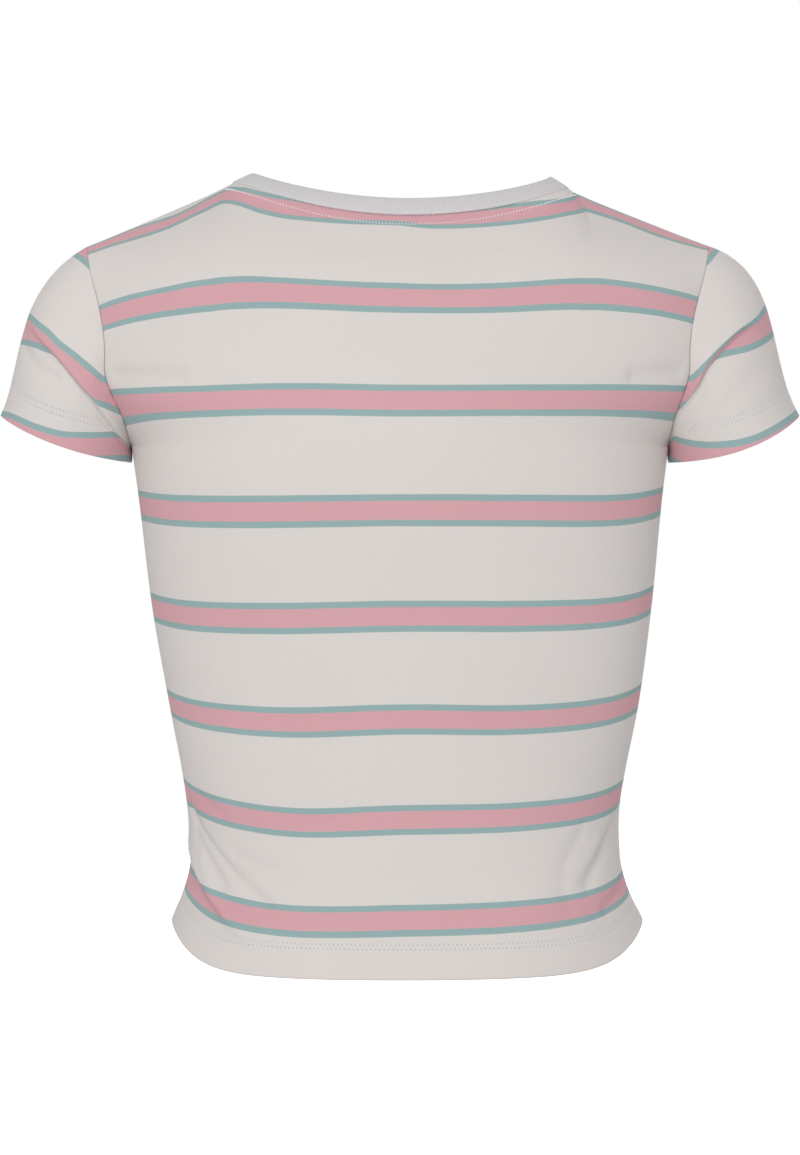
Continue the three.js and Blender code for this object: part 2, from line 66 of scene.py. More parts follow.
# Level sections of the torso: t, reach of each side seam, depth at the centre line, and height there and at the sides
SECTION_COLUMNS = ("t", "left", "right", "back", "front", "back_z", "front_z", "left_z", "right_z")
SECTIONS = (
    (1.0, None, None, 77, 92, -67, -68, None, None),
    (2.0, None, None, 86, 108, -123.5, -124, None, None),
    (UNDERARM, 152.5, 152.5, 88, 115, -149.5, -150, -148, -148),
    (3.0, 148.2, 148.8, 87, 119, -183.3, -184, -179.5, -179.5),
    (4.0, 141.1, 143.6, 80, 109, -241.3, -243, -239, -235),
    (5.0, 131.5, 136.5, 75, 98, -297.8, -301, -294, -291),
    (6.0, 122.3, 126.2, 77, 92, -352.4, -357, -344, -346),
    (6.6, 119.2, 125.2, 82, 94, -384.5, -389, -375, -378),
    (7.0, 121.6, 129.5, 88, 98, -405.6, -410, -394, -398),
    (HEM, 130.3, 138.5, 95, 102, -438.9, -441, -417, -417),
)

SIDES = {
    "left": {
        "sign": 1,
        "neck_point": (94.5, 3, 1.1),
        "shoulder_point": (177, 5, -34.7),
        "underarm": (152.5, 0, -148),
        "cap": {"fall": 29.5, "leave": 1.38, "arrive": 0.82, "flare": 26},
        "cuff_sag": 4,
        "band_lean": 66,
    },
    "right": {
        "sign": -1,
        "neck_point": (-95, 3, -2.3),
        "shoulder_point": (-175, 5, -34.6),
        "underarm": (-152.5, 0, -148),
        "cap": {"fall": 18, "leave": 1.24, "arrive": 0.99, "flare": 31.7},
        "cuff_sag": 6.5,
        "band_lean": 58,
    },
}

PANELS = {
    "back": {
        "facing": 1,
        "neck_depth": 45,
        "neck_low": -19.8,
        "neck_power": 2.0,
        "scoop": 43,
        "first_section": 1,
        "slope_at_neck": 48,
        "slope_at_shoulder": 26,
    },
    "front": {
        "facing": -1,
        "neck_depth": 62,
        "neck_low": -84,
        "neck_power": 1.5,
        "scoop": 41,
        "first_section": 2,
        "slope_at_neck": 58,
        "slope_at_shoulder": 26,
    },
}
NECK_SHIFT = -5
NECK_SPREAD = 0.8
SHOULDER_FALL = 0.43

# Where the armhole crosses each level line: turn in degrees from the shoulder point, and t
ARMHOLE_COLUMNS = ("turn", "t")
ARMHOLE_LEVELS = ((0, 0), (71, 1), (125, 2), (180, UNDERARM))
ARMHOLE_EGG = 0.15
# How far each armhole leans out at a turn, in millimetres
ARMHOLE_LEAN_COLUMNS = ("turn", "left", "right")
ARMHOLE_LEANS = (
    (0, 0, 0),
    (45, -0.3, -1.2),
    (65, -1.6, -2.8),
    (80, -1.4, -3.2),
    (93, 0.0, -2.0),
    (107, 2.9, 0.4),
    (118, 2.2, 0.0),
    (135, -0.7, -1.8),
    (150, -0.8, -1.6),
    (180, 0, 0),
)

CUFF_OUT = 190
CUFF_Z = -143.7
CUFF_TILT = 20.2
CUFF_ACROSS = 39.4
CUFF_DEEP = 46
UNDERARM_PULL = 1.12
SLEEVE_ROUND = 45.0  # radius that turns a sleeve's degrees into millimetres of cloth
SLEEVE_LONG = 75.0

BAND_WIDTH = 12.5
BAND_LAYER = 0.9
BAND_LEAN = {"back": 42, "front": 34}

# Rows of stitches: distance from the edge that they follow, length of a stitch and of a step, and thickness
NECK_STITCH_ROWS = (8.1,)
HEM_STITCH_ROWS = (15.7, 18.0)
CUFF_STITCH_ROWS = (17.2, 20.4)
NECK_STITCH = {"step": 1.8, "length": 0.8, "thick": 1.0}
HEM_STITCH = {"step": 2.4, "length": 1.5, "thick": 0.45}
CUFF_STITCH = {"step": 2.0, "length": 1.25, "thick": 0.42}
# Radius of the small grey domes painted as the shade in the dents between stitches
PAINTED_HOLE_SHADE_RADIUS = 0.38
STITCHES_CLEAR = 10.0  # the rows of the cuffs stop this far short of the armhole, in the folds of the underarm

# The shoulder stripe of the back: at each s, the t of its middle and the height of its pink band in t
YOKE_STRIPE_COLUMNS = ("s", "middle", "height")
YOKE_STRIPE = (
    (-1.0, 0.165, 0.11),
    (-0.93, 0.146, 0.15),
    (-0.88, 0.139, 0.175),
    (-0.83, 0.132, 0.185),
    (-0.78, 0.124, 0.16),
    (-0.73, 0.119, 0.125),
    (-0.68, 0.118, 0.114),
    (-0.63, 0.124, 0.116),
    (-0.57, 0.134, 0.132),
    (-0.52, 0.165, 0.115),
    (-0.46, 0.189, 0.102),
    (-0.39, 0.19, 0.102),
    (-0.34, 0.184, 0.112),
    (-0.29, 0.163, 0.133),
    (-0.25, 0.147, 0.15),
    (-0.2, 0.122, 0.165),
    (-0.12, 0.093, 0.178),
    (-0.04, 0.06, 0.178),
    (0.03, 0.012, 0.178),
    (0.12, 0.045, 0.178),
    (0.21, 0.094, 0.173),
    (0.28, 0.132, 0.156),
    (0.34, 0.147, 0.122),
    (0.41, 0.137, 0.094),
    (0.48, 0.146, 0.086),
    (0.56, 0.172, 0.115),
    (0.61, 0.184, 0.112),
    (0.66, 0.212, 0.103),
    (0.71, 0.23, 0.108),
    (0.76, 0.223, 0.124),
    (0.81, 0.206, 0.165),
    (0.86, 0.193, 0.2),
    (0.93, 0.2, 0.17),
    (1.0, 0.25, 0.13),
)
YOKE_STRIPE_REACH = 0.09  # the t over which that height fades into the even spacing below

# How far the stripes of the back lie below their even places, in millimetres of cloth, at each t and at seven places
# across it
DRIFT_PLACES = (-0.9, -0.6, -0.3, 0.0, 0.3, 0.6, 0.9)
DRIFT_COLUMNS = ("t", "far_right", "right", "near_right", "centre", "near_left", "left", "far_left")
STRIPE_DRIFT = (
    (1.0, -0.5, 0.6, 2.2, 0.3, 0.3, 2.9, 4.2),
    (2.0, -0.6, -0.6, -0.3, 0.0, -0.9, 0.1, 1.0),
    (3.0, -0.8, 0.9, 0.3, 0.0, 0.9, 1.3, 1.4),
    (4.0, -0.8, 0.0, 0.3, 0.0, 1.5, 1.5, -0.3),
    (5.0, -1.4, -0.3, 1.2, 0.4, 2.6, 1.1, -1.3),
    (6.0, -2.6, -1.7, 0.3, 1.0, 3.2, -0.1, -2.0),
    (7.0, -3.5, -1.7, 0.4, 1.5, 2.7, 0.3, -1.3),
    (8.0, -3.5, -1.7, 0.4, 1.5, 2.7, 0.3, -3.0),
)

CORNER_SLOPE = 21.0  # half the change of slope at that corner, in millimetres for each unit of s
CORNER_WIDTH = 0.05  # in s

# The front, which the photograph hides: millimetres of cloth from the middle of the shoulder stripe to the shoulder
# seam and to the lowest point of the neckline
FRONT_STRIPE_TOP = -13.0
FRONT_STRIPE_LOW = 76.0

# Stripes of the sleeves, in millimetres of cloth below the middle of the shoulder stripe: at the armhole and at the
# cuff's edge, at each turn from the shoulder point down to the underarm. Up from the cuff they go by `pace` for each
# millimetre.
SLEEVE_STRIPE_COLUMNS = ("turn", "armhole", "cuff", "pace")
SLEEVE_STRIPES = {
    "left": (
        (0, -2.5, 110.2, 1.05),
        (16, 0.0, 110.9, 1.05),
        (38, 6.9, 112.9, 1.05),
        (51, 12.8, 113.8, 1.05),
        (62, 17.4, 114.2, 1.04),
        (71, 22.7, 114.5, 1.03),
        (91, 36.1, 116.1, 1.02),
        (108, 48.8, 118.9, 1.0),
        (120, 58.2, 120.9, 1.0),
        (133, 65.8, 122.9, 1.0),
        (150, 76.0, 124.6, 1.0),
        (180, 92.0, 126.0, 1.0),
    ),
    "right": (
        (0, 1.0, 111.3, 0.95),
        (15, 2.9, 111.4, 0.945),
        (29, 5.4, 111.6, 0.95),
        (40, 8.9, 111.9, 0.955),
        (57, 17.4, 112.2, 0.94),
        (76, 28.0, 112.3, 0.88),
        (92, 37.6, 113.1, 0.86),
        (108, 49.0, 114.8, 0.86),
        (118, 58.0, 115.9, 0.86),
        (130, 66.0, 117.7, 0.86),
        (144, 72.0, 120.4, 0.86),
        (160, 84.0, 123.5, 0.86),
        (180, 104.0, 126.0, 0.86),
    ),
}

# Folds of the panels: from (s0, t0) to (s1, t1), bowed sideways in the middle, with half width, depth (below zero is
# a trough), ledge, a step down towards larger s, or smaller s if it is below zero, and half the width of that step
FOLD_COLUMNS = ("s0", "t0", "s1", "t1", "bow", "half_width", "depth", "ledge", "step_width")
PANEL_FOLDS = {
    "back": (
        (1.05, 6.39, 0.5, 7.25, 0, 14, 0, 3.8, 1.0),
        (0.84, 6.11, 0.41, 6.91, 0, 3.5, -2.0, 0, 1),
        (0.78, 6.3, 0.6, 6.62, 0, 3, 0.8, 0, 1),
        (0.79, 6.33, 0.62, 6.75, 0, 7, -1.7, 0, 1),
        (0.755, 6.6, 0.677, 6.83, 0, 4, 0.8, 0, 1),
        (0.55, 6.44, 0.34, 6.57, 0, 3.5, -0.9, 0, 1),
        (0.36, 6.74, 0.25, 6.77, 0, 2.5, -0.7, 0, 1),
        (0.73, 5.9, 0.6, 6.04, 0, 4, -0.8, 0, 1),
        (0.3, 6.05, 0.17, 6.0, 0, 3, -0.5, 0, 1),
        (-0.955, 6.18, -0.52, 6.81, 0, 10, -1.4, 0, 1),
        (-0.6, 6.2, -0.52, 6.52, 0, 5.5, -1.0, 0, 1),
        (-0.69, 6.36, -0.55, 6.72, 0, 5.5, 1.1, 0, 1),
        (-0.81, 6.27, -0.62, 6.77, 0, 5, -1.5, 0, 1),
        (-0.87, 6.9, -0.68, 7.04, 0, 4, -1.7, 0, 1),
        (0.95, 1.74, 0.65, 1.78, 0, 5, -2.0, 0, 1),
        (-0.95, 1.7, -0.72, 1.76, 0, 5, -2.0, 0, 1),
        (-0.2, 0.42, 0.18, 0.42, 0, 8, -0.7, 0, 1),
        (0.445, 0.33, 0.42, 0.5, 0, 2.5, -0.6, 0, 1),
    ),
    "front": (
        (0.93, 6.25, 0.56, 6.95, 0, 12, -2.4, 0, 1),
        (-0.87, 6.1, -0.63, 7.2, -12, 14, 0, -2.8, 1.4),
        (-0.8, 6.3, -0.52, 6.8, 0, 6, -1.6, 0, 1),
        (-0.95, 1.8, -0.68, 1.88, 0, 6, -1.4, 0, 1),
        (0.94, 1.76, 0.7, 1.8, 0, 5, -1.2, 0, 1),
        (0.3, 5.9, 0.62, 6.3, 0, 9, -0.9, 0, 1),
    ),
}

# The crease round each sleeve, where its cap hangs over its lower part: the share of the sleeve's length at which it
# lies, the height of its step and half the width of that step, at each turn from the shoulder point (0) down the back
# to the underarm (180) and up the front (360)
CREASE_COLUMNS = ("turn", "v", "step", "step_width")
SLEEVE_CREASES = {
    "left": (
        (0, 0.46, 0.3, 9.0),
        (15, 0.455, 0.5, 6.0),
        (27, 0.45, 1.2, 2.5),
        (43, 0.445, 1.9, 1.3),
        (60, 0.43, 2.3, 1.0),
        (92, 0.395, 2.3, 1.0),
        (106, 0.335, 2.2, 1.0),
        (117, 0.315, 2, 1.0),
        (136, 0.32, 1.6, 1.0),
        (153, 0.21, 0.8, 2.0),
        (180, 0.1, 0, 4.0),
        (225, 0.25, 1, 2.5),
        (265, 0.36, 1.8, 1.6),
        (305, 0.43, 1.4, 2.0),
        (335, 0.455, 0.7, 5.0),
        (360, 0.46, 0.3, 9.0),
    ),
    "right": (
        (0, 0.5, 0, 9.0),
        (30, 0.44, 0.3, 6.0),
        (43, 0.41, 0.9, 2.5),
        (52, 0.37, 1.8, 1.2),
        (57, 0.345, 2.2, 0.9),
        (77, 0.275, 2.3, 0.9),
        (91, 0.22, 2.2, 0.9),
        (103, 0.18, 2, 0.9),
        (115, 0.13, 1.8, 0.9),
        (128, 0.08, 1.4, 1.0),
        (142, 0.03, 0.6, 2.0),
        (180, 0, 0, 4.0),
        (230, 0.1, 0.6, 3.0),
        (270, 0.24, 1.5, 1.8),
        (310, 0.36, 1.2, 2.5),
        (335, 0.44, 0.4, 6.0),
        (360, 0.5, 0, 9.0),
    ),
}
CREASE_REACH = 14.0  # how far from the line the cloth takes to come back
CREASE_JUMP = 0.45  # how much faster than the step the stripes part

# Smaller folds of the sleeves, from (turn0, v0) to (turn1, v1)
SLEEVE_FOLD_COLUMNS = ("turn0", "v0", "turn1", "v1", "bow", "half_width", "depth", "ledge", "step_width")
SLEEVE_FOLDS = {
    "left": (
        (24, 0.56, 70, 0.54, -3, 3.5, -1.7, 0, 1),
        (318, 0.7, 285, 0.78, 0, 7, -1.0, 0, 1),
        (118, 0.36, 151, 0.41, 0, 3, -0.8, 0, 1),
    ),
    "right": ((40, 0.62, 84, 0.6, 0, 7, -0.8, 0, 1), (325, 0.65, 280, 0.62, 0, 7, -0.9, 0, 1)),
}

# Camera: the photograph's view, level with the underarms, a little below the middle of the top
CAMERA_DISTANCE = 1900.0
CAMERA_Z = -161.3
CAMERA_TILT = 1.85
SCALE_AT_SEAMS = 0.57  # millimetres for each pixel of the photograph, in the plane of the shoulder seams
IMAGE_HEIGHT = 1155
SENSOR_HEIGHT = 24.0

WHITE = (0.72, 0.68, 0.655)
PINK = (0.685, 0.38, 0.42)
EDGING = (0.305, 0.44, 0.445)
RIB = (0.7, 0.68, 0.69)
THREAD = (0.9, 0.88, 0.86)
# Grey painted as the shade in the dents of the needle holes, not a colour of the cloth
PAINTED_HOLE_SHADE = (0.47, 0.46, 0.45)


def rows_of(columns, table):
    """The rows of a table as dictionaries."""
    return [dict(zip(columns, row)) for row in table]


def mix(a, b, share):
    return a + (b - a) * share


def hermite(a, da, b, db, w):
    """A cubic from a, leaving with slope da, to b, arriving with slope db."""
    w2 = w * w
    w3 = w2 * w
    return a * (2 * w3 - 3 * w2 + 1) + da * (w3 - 2 * w2 + w) + b * (3 * w2 - 2 * w3) + db * (w3 - w2)


def through(rows, start, column):
    """A smooth curve through the rows of a table, from one column to another."""
    rows = [row for row in rows if row[column] is not None]
    x = np.array([row[start] for row in rows], float)
    y = np.array([row[column] for row in rows], float)
    before = np.maximum(np.arange(len(x)) - 1, 0)
    after = np.minimum(np.arange(len(x)) + 1, len(x) - 1)
    slope = (y[after] - y[before]) / (x[after] - x[before])

    def curve(at):
        i = np.clip(np.searchsorted(x, at) - 1, 0, len(x) - 2)
        span = x[i + 1] - x[i]
        return hermite(y[i], slope[i] * span, y[i + 1], slope[i + 1] * span, (at - x[i]) / span)

    return curve


section_rows = rows_of(SECTION_COLUMNS, SECTIONS)
section = {column: through(section_rows, "t", column) for column in SECTION_COLUMNS[1:]}
armhole_rows = rows_of(ARMHOLE_COLUMNS, ARMHOLE_LEVELS)
level_at_turn = through(armhole_rows, "turn", "t")
turn_at_level = through(armhole_rows, "t", "turn")
lean_rows = rows_of(ARMHOLE_LEAN_COLUMNS, ARMHOLE_LEANS)
armhole_lean = {side: through(lean_rows, "turn", side) for side in SIDES}
yoke_rows = rows_of(YOKE_STRIPE_COLUMNS, YOKE_STRIPE)
yoke_middle = through(yoke_rows, "s", "middle")
yoke_height = through(yoke_rows, "s", "height")


def by_side(s, key):
    """A value of each side's table, for the side that each s lies on."""
    left = np.array(SIDES["left"][key], float)
    right = np.array(SIDES["right"][key], float)
    is_left = np.asarray(s) >= 0
    if left.ndim:
        is_left = is_left[..., None]
    return np.where(is_left, left, right)


def armhole(s, panel, turn):
    """The armhole of the side that s lies on: an egg that leans in towards the underarm."""
    angle = np.radians(turn)
    down = (1 - np.cos(angle)) / 2
    at = mix(by_side(s, "shoulder_point"), by_side(s, "underarm"), down[..., None])
    facing = PANELS[panel]["facing"]
    at[..., 1] += facing * PANELS[panel]["scoop"] * np.sin(angle) * (1 - ARMHOLE_EGG * np.cos(angle))
    at[..., 0] += by_side(s, "sign") * np.where(s >= 0, armhole_lean["left"](turn), armhole_lean["right"](turn))
    return at


def neckline(panel, s):
    """The neckline at s, as far as the neck points."""
    form = PANELS[panel]
    end = by_side(s, "neck_point")
    angle = np.radians(90 * np.minimum(np.abs(s) / NECK_POINT, 1))
    inner = np.cos(angle)
    x = end[..., 0] * np.sin(angle) + NECK_SHIFT * inner
    y = end[..., 1] + form["facing"] * form["neck_depth"] * inner
    z = mix(end[..., 2], form["neck_low"], np.maximum(inner, 0) ** form["neck_power"])
    return np.stack((x, y, z), -1)


def top_edge(panel, s):
    """The top edge of a panel: shoulder seam, neckline, shoulder seam."""
    share = np.maximum(np.abs(s) - NECK_POINT, 0) / (1 - NECK_POINT)
    shoulder = mix(by_side(s, "neck_point"), by_side(s, "shoulder_point"), share[..., None])
    return np.where((np.abs(s) <= NECK_POINT)[..., None], neckline(panel, s), shoulder)


def level_point(panel, s, t):
    """Points of the level lines, below the neckline."""
    facing = PANELS[panel]["facing"]
    sign = by_side(s, "sign")
    depth = section[panel](t)
    centre_z = section[panel + "_z"](t)
    low = np.maximum(t, UNDERARM)
    reach = np.where(s >= 0, section["left"](low), section["right"](low))
    side_z = np.where(s >= 0, section["left_z"](low), section["right_z"](low))
    seam = np.stack((reach * sign, np.zeros_like(reach), side_z), -1)
    hole = armhole(s, panel, turn_at_level(np.minimum(t, UNDERARM)))
    edge = np.where((t < UNDERARM)[..., None], hole, seam)
    # The level line is a superellipse that ends where its depth has fallen to the edge's.
    left = np.minimum(np.abs(edge[..., 1]) / depth, 1)
    widest = (1 - left**ROUNDNESS) ** (1 / ROUNDNESS)
    across = np.sin(np.abs(s) * np.arcsin(widest))
    share = across / widest
    fullness = np.maximum(1 - across**ROUNDNESS, 0) ** (1 / ROUNDNESS)
    # Near the shoulders a level line still follows the rise and fall of the top edge.
    follow = np.maximum(1 - t / 2, 0) ** 2
    centre_top = top_edge(panel, np.zeros_like(s))[..., 2]
    edge_top = top_edge(panel, sign)[..., 2]
    rise = top_edge(panel, s)[..., 2] - mix(centre_top, edge_top, share**SIDE_LIFT)
    z = mix(centre_z, edge[..., 2], share**SIDE_LIFT) + follow * rise
    return np.stack((edge[..., 0] * share, facing * depth * fullness, z), -1)


def yoke_point(panel, s, w):
    """The yoke runs from the top edge, where it leaves with a set slope, into the first level section."""
    form = PANELS[panel]
    first = float(form["first_section"])
    top = top_edge(panel, s)
    low = level_point(panel, s, np.full_like(s, first))
    below = level_point(panel, s, np.full_like(s, first + 0.02))
    arriving = (below - low) * (first / 0.02)
    to_shoulder = np.minimum(np.abs(s) / NECK_POINT, 1)
    slope = np.radians(mix(form["slope_at_neck"], form["slope_at_shoulder"], to_shoulder**2))
    past_neck = np.maximum(np.abs(s) - NECK_POINT, 0) / (1 - NECK_POINT)
    sideways = NECK_SPREAD * to_shoulder**3 * (1 - past_neck) ** 3
    leaving = np.stack(
        (
            by_side(s, "sign") * sideways,
            form["facing"] * np.cos(slope),
            -np.sin(slope) - SHOULDER_FALL * sideways,
        ),
        -1,
    )
    leaving /= np.linalg.norm(leaving, axis=-1, keepdims=True)
    leaving *= np.linalg.norm(low - top, axis=-1, keepdims=True)
    return hermite(top, leaving, low, arriving, w[..., None])


def panel_point(panel, s, t):
    """Points of a panel's outside, without its folds."""
    first = PANELS[panel]["first_section"]
    w = np.minimum(t / first, 1)
    yoke = yoke_point(panel, s, w)
    # The yoke ends exactly on the armhole.
    wanted = armhole(s, panel, turn_at_level(np.minimum(t, UNDERARM)))
    miss = wanted - yoke_point(panel, by_side(s, "sign"), w)
    yoke += miss * (np.abs(s) ** 6)[..., None]
    level = level_point(panel, s, np.maximum(t, first))
    return np.where((t >= first)[..., None], level, yoke)


def sleeve_point(side, facing, turn_degrees, v):
    """Points of a sleeve's outside: facing is 1 on the back half and -1 on the front half."""
    sign = SIDES[side]["sign"]
    at_side = np.full_like(v, sign)
    back = armhole(at_side, "back", turn_degrees)
    front = armhole(at_side, "front", turn_degrees)
    start = np.where((facing > 0)[..., None], back, front)
    tilt = math.radians(CUFF_TILT)
    axis = np.array((sign * math.sin(tilt), 0, -math.cos(tilt)))
    across = np.array((sign * math.cos(tilt), 0, math.sin(tilt)))
    turn = np.radians(turn_degrees)
    bend = np.sin(turn)[..., None]
    end = np.array((sign * CUFF_OUT, 0, CUFF_Z)) + across * CUFF_ACROSS * np.cos(turn)[..., None]
    end = end + axis * SIDES[side]["cuff_sag"] * bend**2
    end[..., 1] += facing * CUFF_DEEP * bend[..., 0]
    # The cloth leaves the armhole outwards at the top and along the sleeve at the underarm.
    cap = SIDES[side]["cap"]
    outwards = (1 + np.cos(turn)) / 2
    fall = np.radians(mix(90 - CUFF_TILT, cap["fall"], outwards))
    flare = np.radians(mix(CUFF_TILT, cap["flare"], outwards))
    leaving = np.stack((sign * np.cos(fall), facing * 0.25 * bend[..., 0], -np.sin(fall)), -1)
    leaving /= np.linalg.norm(leaving, axis=-1, keepdims=True)
    arriving = np.stack((sign * np.sin(flare), np.zeros_like(flare), -np.cos(flare)), -1)
    length = np.linalg.norm(end - start, axis=-1)
    leaving *= (length * mix(UNDERARM_PULL, cap["leave"], outwards))[..., None]
    arriving *= (length * mix(UNDERARM_PULL, cap["arrive"], outwards))[..., None]
    return hermite(start, leaving, end, arriving, v[..., None])


def ledge_at(off, ledge, reach, step_width):
    """A ledge's height at a distance from its line: a quick step down across the line, with a slow way back."""
    return -ledge * np.tanh(off / step_width) * np.exp(-np.abs(off) / reach)


def fold_relief(rows, x, y, line_of):
    """How far the folds move the cloth out at each place. A fold is a soft groove or ridge, or a ledge, along a bowed
    line, and dies out past its ends."""
    relief = np.zeros_like(x)
    for row in rows:
        x0, y0, x1, y1 = line_of(row)
        length = math.hypot(x1 - x0, y1 - y0)
        along = ((x - x0) * (x1 - x0) + (y - y0) * (y1 - y0)) / length
        off = ((x - x0) * (y1 - y0) - (y - y0) * (x1 - x0)) / length
        part = np.clip(along / length, 0, 1)
        off = off - row["bow"] * 4 * part * (1 - part)
        past = np.maximum(np.maximum(-along, along - length), 0)
        width = row["half_width"]
        end = np.exp(-((past / width) ** 2))
        relief += row["depth"] * np.exp(-((off / width) ** 2)) * end
        middle = np.sin(math.pi * mix(0.1, 0.9, part)) ** 2
        relief += ledge_at(off, row["ledge"], width, row["step_width"]) * middle * end
    return relief


def dense_stops(start, end, step, dense, dense_step):
    """Stops from start to end, closer together inside the dense stretches."""
    stops = [start]
    while stops[-1] < end - dense_step * 0.5:
        at = stops[-1]
        inside = any(low - step <= at < high for low, high in dense)
        stops.append(min(at + (dense_step if inside else step), end))
    stops[-1] = end
    return np.array(stops)


def column_stops():
    """Mesh lines across a panel, closest at its side edges."""
    side = CLOTH_PER_S * (1 - NECK_POINT)
    past_neck = dense_stops(0, side, 1.9, ((side - 3, side),), 0.8) / CLOTH_PER_S
    shoulder = NECK_POINT + past_neck
    neck = np.linspace(-NECK_POINT, NECK_POINT, 97)
    return np.concatenate((-shoulder[::-1], neck[1:-1], shoulder))


def turn_stops():
    """Degrees down one half of an armhole, closest at the shoulder, where the neck seam and its stitches lie."""
    return dense_stops(0, 180, 2.5, ((0, 15),), 1.0)


def side_stops():
    """Values of t down the side seams, closest at the hem's stitches and edge."""
    down = (HEM - UNDERARM) * STRIPE_REPEAT
    rows = (down - HEM_STITCH_ROWS[1] - 2, down - HEM_STITCH_ROWS[0] + 2)
    stops = dense_stops(0, down, 2.2, (rows, (down - 2.5, down)), 0.75)
    return UNDERARM + stops / STRIPE_REPEAT


TURNS = turn_stops()
COLUMNS = column_stops()
ROWS = np.concatenate((level_at_turn(TURNS), side_stops()[1:]))


def stripe_drift(s, t):
    """How far the stripes of the back lie below their even places, in millimetres of cloth. The level lines have a
    corner below each neck point, which the stripes pass in a curve."""
    rows = rows_of(DRIFT_COLUMNS, STRIPE_DRIFT)
    values = np.stack([through(rows, "t", column)(t) for column in DRIFT_COLUMNS[1:]])
    places = np.array(DRIFT_PLACES)
    slopes = np.gradient(values, places, axis=0)
    i = np.clip(np.searchsorted(places, s) - 1, 0, len(places) - 2)
    span = places[i + 1] - places[i]
    pick = [np.take_along_axis(table, k[None], axis=0)[0] for table in (values, slopes) for k in (i, i + 1)]
    low, high, low_slope, high_slope = pick
    drift = hermite(low, low_slope * span, high, high_slope * span, np.clip((s - places[i]) / span, -0.3, 1.3))
    off = np.abs(s) - NECK_POINT
    corner = np.sqrt(off**2 + CORNER_WIDTH**2) - np.abs(off)
    return drift + CORNER_SLOPE * corner * np.clip(2 - t, 0, 1)


def stripe_down_back(s, t):
    """Millimetres of cloth down from the middle of the shoulder stripe, on the back."""
    middle = yoke_middle(s)
    even = STRIPE_REPEAT / (1 - middle)
    extra = YOKE_STRIPE_REACH * (2 * PINK_HALF / yoke_height(s) - even)
    u = (t - middle) / YOKE_STRIPE_REACH
    on_yoke = even * (t - middle) + extra * u * np.exp(-u * u / 2)
    share = np.clip((t - 0.4) / 0.6, 0, 1)
    on_yoke -= stripe_drift(s, np.ones_like(t)) * share**2 * (3 - 2 * share)
    below = STRIPE_REPEAT * t - stripe_drift(s, np.maximum(t, 1))
    return np.where(t < 1, on_yoke, below)


def stripe_down_front(s, t):
    """The same on the front, evenly spaced."""
    form = PANELS["front"]
    inner = np.cos(np.radians(90 * np.minimum(np.abs(s) / NECK_POINT, 1)))
    top = mix(FRONT_STRIPE_TOP, FRONT_STRIPE_LOW, np.maximum(inner, 0) ** form["neck_power"])
    first = form["first_section"]
    return np.where(t < first, mix(top, first * STRIPE_REPEAT, t / first), t * STRIPE_REPEAT)


def seam_dip(distance, seam):
    return -seam["depth"] * np.exp(-((distance / seam["width"]) ** 2))


def stitch_groove(distance, rows):
    """The cloth drawn in along rows of stitches."""
    relief = np.zeros_like(distance)
    for row in rows:
        relief -= 0.3 * np.exp(-(((distance - row) / 0.9) ** 2))
    return relief


def neck_strip(s, from_top):
    """The topstitched strip along the neckline stands proud of the cloth below it, most of all by the neck points."""
    places, heights = zip(*STRIP_HEIGHTS)
    height = np.interp(np.abs(s), places, heights)
    middle = NECK_STITCH_ROWS[0] + STRIP_FALL + 0.3
    return height / 2 * (1 - np.tanh((from_top - middle) / STRIP_FALL))


def panel_grid(panel):
    columns = COLUMNS if panel == "back" else COLUMNS[::-1]
    t, s = np.meshgrid(ROWS, columns, indexing="ij")
    points = panel_point(panel, s, t)
    down = stripe_down_back(s, t) if panel == "back" else stripe_down_front(s, t)
    from_top = np.linalg.norm(points - points[:1], axis=-1)
    end = np.where(s >= 0, 0, -1) if columns[0] > 0 else np.where(s >= 0, -1, 0)
    edge = np.take_along_axis(points, end[..., None], axis=1)
    from_side = np.linalg.norm(points - edge, axis=-1)
    from_hem = (HEM - t) * STRIPE_REPEAT
    fade = 1 - np.exp(-((from_side / 6) ** 2))
    fade *= 1 - np.exp(-((from_top / 6) ** 2))
    relief = fade * fold_relief(
        rows_of(FOLD_COLUMNS, PANEL_FOLDS[panel]),
        s * CLOTH_PER_S,
        t * STRIPE_REPEAT,
        lambda row: (
            row["s0"] * CLOTH_PER_S,
            row["t0"] * STRIPE_REPEAT,
            row["s1"] * CLOTH_PER_S,
            row["t1"] * STRIPE_REPEAT,
        ),
    )
    side = np.where(t < UNDERARM, seam_dip(from_side, ARMHOLE_SEAM), seam_dip(from_side, SIDE_SEAM))
    relief += np.minimum(side, seam_dip(from_top, NECK_SEAM))
    at_neck = np.abs(s) < NECK_POINT * 1.02
    relief += np.where(at_neck, stitch_groove(from_top, NECK_STITCH_ROWS), 0)
    relief += neck_strip(s, from_top)
    relief += stitch_groove(from_hem, HEM_STITCH_ROWS)
    walls = np.where(from_hem <= HEM_STITCH_ROWS[1] + 1, TURNED_UP_WALL, WALL)
    cloth = np.stack((s * CLOTH_PER_S / STRIPE_REPEAT, down / STRIPE_REPEAT), -1)
    return {"points": points, "relief": relief, "walls": walls, "cloth": cloth, "ring": False}


def run_along(points):
    """How far each point of the mesh lines lies from their first row, along the cloth."""
    steps = np.linalg.norm(np.diff(points, axis=0), axis=-1)
    return np.concatenate((np.zeros_like(steps[:1]), steps.cumsum(axis=0)))


def cuff_hem_share(turn):
    """How deep the turned-up hem of the cuff is at a turn, as a share of its full depth by the underarm."""
    return mix(0.84, 1.06, (1 - np.cos(np.radians(turn))) / 2)


